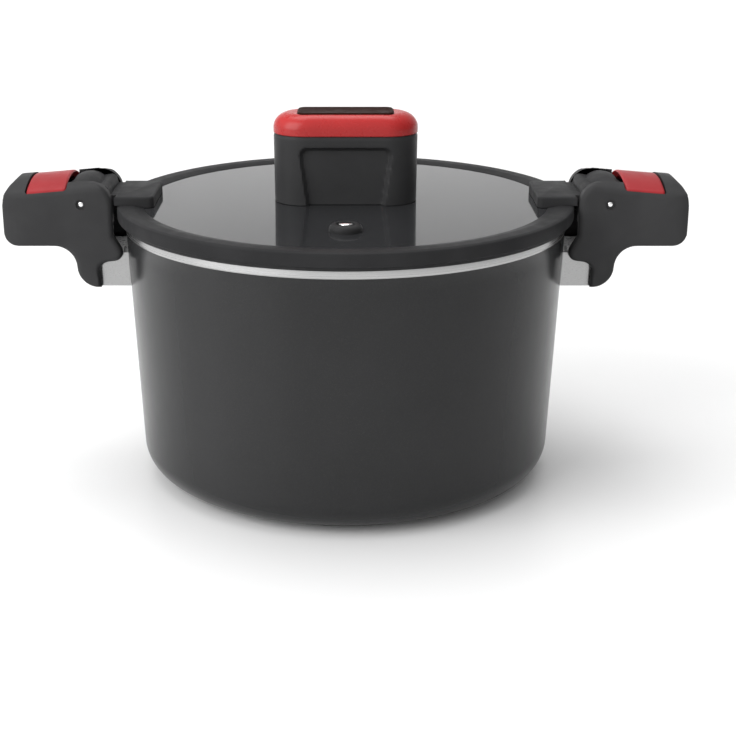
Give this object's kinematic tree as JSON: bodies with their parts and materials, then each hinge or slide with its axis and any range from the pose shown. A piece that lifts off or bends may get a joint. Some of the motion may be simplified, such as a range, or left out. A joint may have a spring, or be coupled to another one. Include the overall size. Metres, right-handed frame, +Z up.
{
  "type": "low-pressure cooking pot with clamp-on lid",
  "caption": "Dark grey cast pot with a flat glass lid, a tall black and red knob, and two fold-up clamp handles with red release buttons.",
  "frame": {"origin": "centre of the base on the table", "axes": "+X along the line through both handles, +Y to the back, away from the pressure indicator, +Z up"},
  "size_m": [0.3788, 0.256, 0.2067],
  "materials": {
    "pot_coating": "satin dark grey coating",
    "bare_steel": "brushed",
    "polished_steel": "polished",
    "smoked_glass": "gloss",
    "black_plastic": "fine satin grain",
    "red_plastic": "gloss",
    "red_button_plastic": "satin",
    "silicone": "matte",
    "red_silicone": "matte"
  },
  "bodies": {
    "pot": {"pot_body": "pot_coating", "base_disc": "bare_steel", "bracket_left": "polished_steel", "bracket_right": "polished_steel", "bracket_rivets": "bare_steel"},
    "lid": {"lid_glass": "smoked_glass", "lid_ring": "black_plastic", "lid_clamp_ring": "black_plastic", "lid_ring_screws": "bare_steel", "lid_gasket": "silicone", "arm_left": "black_plastic", "arm_right": "black_plastic", "arm_screws": "bare_steel", "knob_body": "black_plastic", "knob_cap": "red_plastic", "knob_stud": "polished_steel", "knob_nut": "bare_steel", "knob_washer": "bare_steel", "knob_gasket": "silicone", "knob_screws": "bare_steel", "valve_spring": "bare_steel", "indicator_grommet": "silicone"},
    "steam_valve": {"steam_button": "black_plastic", "valve_stem": "polished_steel", "valve_disc": "red_silicone", "stem_clip": "bare_steel"},
    "indicator": {"indicator_pin": "polished_steel", "indicator_clip": "bare_steel"},
    "handle_left": {"handle_shell_left": "black_plastic", "grip_cover_left": "black_plastic", "cover_screws_left": "bare_steel", "jaw_plate_left": "bare_steel", "jaw_screws_left": "bare_steel", "hinge_pin_left": "polished_steel", "button_springs_left": "bare_steel"},
    "button_left": {"release_button_left": "red_button_plastic"},
    "latch_left": {"latch_plate_left": "bare_steel"},
    "handle_right": {"handle_shell_right": "black_plastic", "grip_cover_right": "black_plastic", "cover_screws_right": "bare_steel", "jaw_plate_right": "bare_steel", "jaw_screws_right": "bare_steel", "hinge_pin_right": "polished_steel", "button_springs_right": "bare_steel"},
    "button_right": {"release_button_right": "red_button_plastic"},
    "latch_right": {"latch_plate_right": "bare_steel"}
  },
  "joints": [
    {"name": "lid_lift", "type": "slide", "parent": "pot", "child": "lid", "axis": [0, 0, 1], "range_m": [0, 0.2]},
    {"name": "steam_valve_press", "type": "slide", "parent": "lid", "child": "steam_valve", "axis": [0, 0, -1], "range_m": [0, 0.003], "stiffness_N_per_m": 900, "springref_m": -0.003, "deforming": ["valve_spring"]},
    {"name": "indicator_rise", "type": "slide", "parent": "lid", "child": "indicator", "axis": [0, 0, 1], "range_m": [0, 0.003]},
    {"name": "handle_left_fold", "type": "hinge", "parent": "lid", "child": "handle_left", "pos_m": [-0.1453, 0, 0.1588], "axis": [0, 1, 0], "range_deg": [0, 75]},
    {"name": "button_left_press", "type": "slide", "parent": "handle_left", "child": "button_left", "axis": [0, 0, -1], "range_m": [0, 0.0025], "stiffness_N_per_m": 1500, "springref_m": -0.002, "deforming": ["button_springs_left"]},
    {"name": "latch_left_slide", "type": "slide", "parent": "handle_left", "child": "latch_left", "axis": [-1, 0, 0], "range_m": [0, 0.0025]},
    {"name": "handle_right_fold", "type": "hinge", "parent": "lid", "child": "handle_right", "pos_m": [0.1453, 0, 0.1588], "axis": [0, -1, 0], "range_deg": [0, 75]},
    {"name": "button_right_press", "type": "slide", "parent": "handle_right", "child": "button_right", "axis": [0, 0, -1], "range_m": [0, 0.0025], "stiffness_N_per_m": 1500, "springref_m": -0.002, "deforming": ["button_springs_right"]},
    {"name": "latch_right_slide", "type": "slide", "parent": "handle_right", "child": "latch_right", "axis": [1, 0, 0], "range_m": [0, 0.0025]}
  ],
  "couplings": [
    {"joint": "latch_left_slide", "follows": "button_left_press", "ratio": 1},
    {"joint": "latch_right_slide", "follows": "button_right_press", "ratio": 1}
  ]
}
